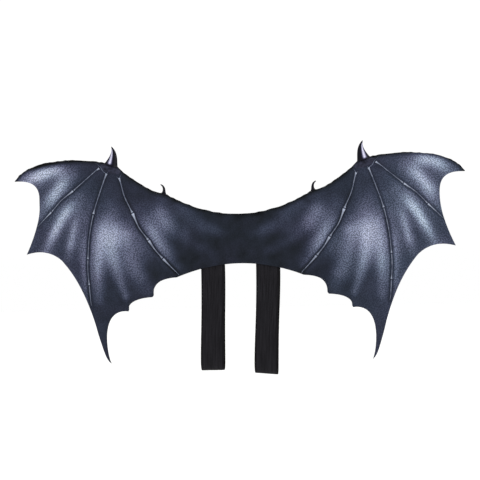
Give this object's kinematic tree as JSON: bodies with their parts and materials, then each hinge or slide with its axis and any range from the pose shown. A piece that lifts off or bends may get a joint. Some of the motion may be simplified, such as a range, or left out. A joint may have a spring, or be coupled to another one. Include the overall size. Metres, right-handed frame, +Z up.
{
  "type": "costume bat wings",
  "caption": "Costume bat wings: a moulded leather-look sheet with scalloped hems, raised finger bones and wrist claws, worn on the back by elastic arm loops.",
  "frame": {"origin": "middle of the yoke's back face, where it lies on the wearer's back", "axes": "+X along the span towards the wing on the right of the picture, +Y from the printed front through the sheet to the wearer's back, +Z up"},
  "size_m": [0.782, 0.0724, 0.4012],
  "materials": {
    "printed_foam": "grained, printed with airbrushed folds",
    "painted_bone": "smooth, painted lilac grey",
    "dark_cap": "creased, near black",
    "gloss_claw": "glossy horn",
    "black_elastic": "woven elastic with lengthwise ribs"
  },
  "bodies": {
    "root": {"wing_sheet": "printed_foam", "finger_bone_outer_right": "painted_bone", "finger_bone_middle_right": "painted_bone", "finger_bone_inner_right": "painted_bone", "wrist_cap_right": "dark_cap", "claw_right": "gloss_claw", "thorn_right": "gloss_claw", "finger_bone_outer_left": "painted_bone", "finger_bone_middle_left": "painted_bone", "finger_bone_inner_left": "painted_bone", "wrist_cap_left": "dark_cap", "claw_left": "gloss_claw", "thorn_left": "gloss_claw", "arm_loop_right": "black_elastic", "arm_loop_left": "black_elastic"}
  },
  "joints": []
}
